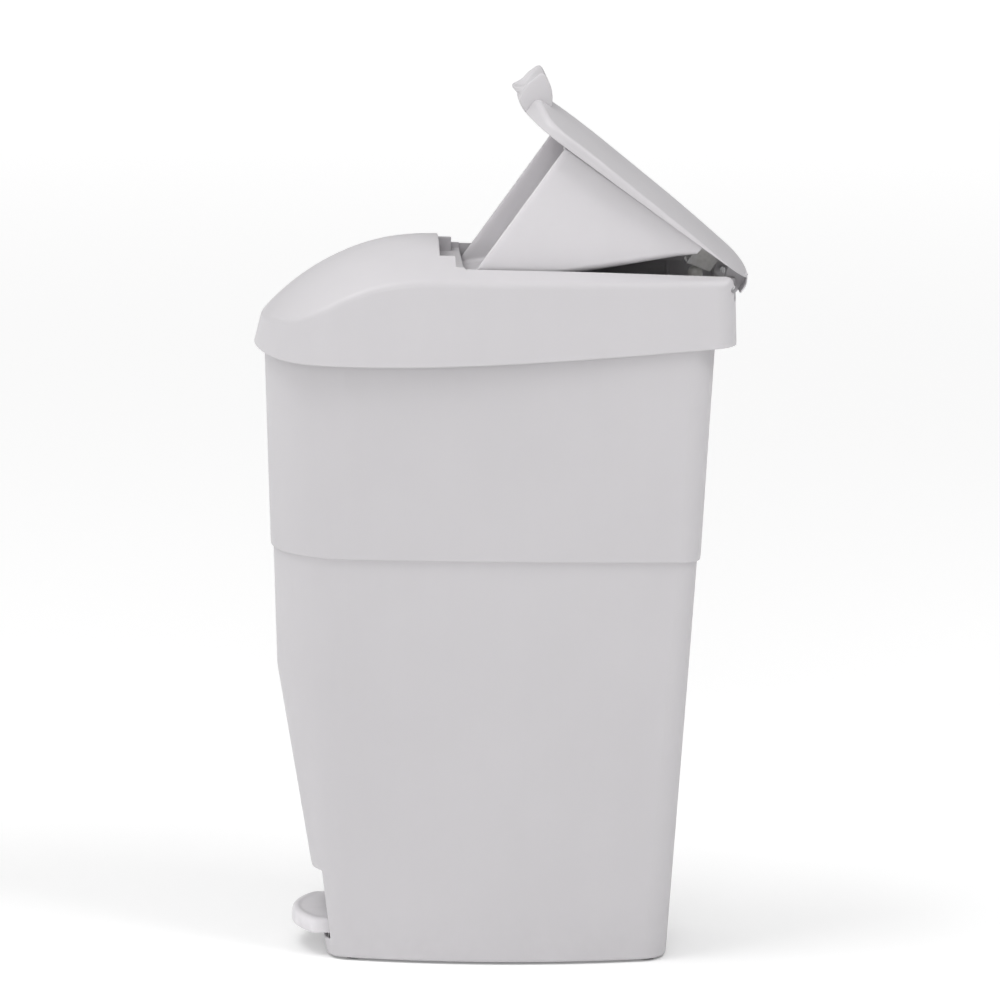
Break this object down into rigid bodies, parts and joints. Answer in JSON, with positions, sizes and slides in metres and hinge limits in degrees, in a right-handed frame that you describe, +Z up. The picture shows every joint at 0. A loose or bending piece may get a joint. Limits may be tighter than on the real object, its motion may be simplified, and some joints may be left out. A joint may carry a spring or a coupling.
{
  "type": "pedal trash can",
  "caption": "Slim free-standing pedal bin: tapered tub, domed lift-off cover, and a rear-hinged lid that tips a tray under it when the pedal is pressed.",
  "frame": {"origin": "on the floor, at the centre of the overall box with the lid open and the pedal pressed", "axes": "+X across the bin, -Y the front with the pedal, +Y the rear with the hinge, +Z up"},
  "size_m": [0.1796, 0.397, 0.7315],
  "materials": {
    "body_plastic": "fine-grained moulded grey-white polypropylene",
    "cover_plastic": "moulded grey-white, faint sheen",
    "tray_plastic": "thin moulded, slightly translucent",
    "pedal_plastic": "moulded grey-white with a worn top",
    "base_plastic": "moulded mid grey",
    "ring_plastic": "moulded light grey",
    "guide_plastic": "natural nylon",
    "foot_rubber": "matt black",
    "steel": "bright drawn",
    "zinc_steel": "zinc plated",
    "spring_steel": "dark spring steel"
  },
  "bodies": {
    "bin": {"bin_body": "body_plastic", "base_plate": "base_plastic", "base_screws": "steel", "rubber_feet": "foot_rubber", "bag_ring": "ring_plastic", "rod_guide_lower": "guide_plastic", "rod_guide_upper": "guide_plastic", "rod_shroud": "base_plastic", "pedal_axle": "steel", "axle_clips": "spring_steel"},
    "cover": {"top_cover": "cover_plastic", "hinge_pin_left": "steel", "hinge_pin_right": "steel"},
    "lid": {"lid_flap": "cover_plastic", "lid_grip": "cover_plastic", "tip_tray": "tray_plastic", "tray_screws": "steel", "lift_lug": "zinc_steel", "lug_rivets": "steel"},
    "lift_rod": {"lift_rod": "steel", "rod_cap": "guide_plastic", "rod_foot": "guide_plastic"},
    "pedal": {"pedal_lever": "zinc_steel", "pedal_pad": "pedal_plastic", "pad_screws": "steel", "lever_bushes": "guide_plastic"}
  },
  "joints": [
    {"name": "cover_lift", "type": "slide", "parent": "bin", "child": "cover", "axis": [0, 0, 1], "range_m": [0, 0.15]},
    {"name": "lid_hinge", "type": "hinge", "parent": "cover", "child": "lid", "pos_m": [0, 0.1835, 0.5603], "axis": [1, 0, 0], "range_deg": [0, 35]},
    {"name": "rod_slide", "type": "slide", "parent": "bin", "child": "lift_rod", "axis": [0, 0.0532, 0.9986], "range_m": [-0.0163, 0]},
    {"name": "pedal_pivot", "type": "hinge", "parent": "bin", "child": "pedal", "pos_m": [0, 0.045, 0.034], "axis": [1, 0, 0], "range_deg": [-11.1, 0]}
  ],
  "couplings": [
    {"joint": "rod_slide", "follows": "lid_hinge", "m_per_rad": -0.026324},
    {"joint": "pedal_pivot", "follows": "lid_hinge", "ratio": -0.31046}
  ]
}
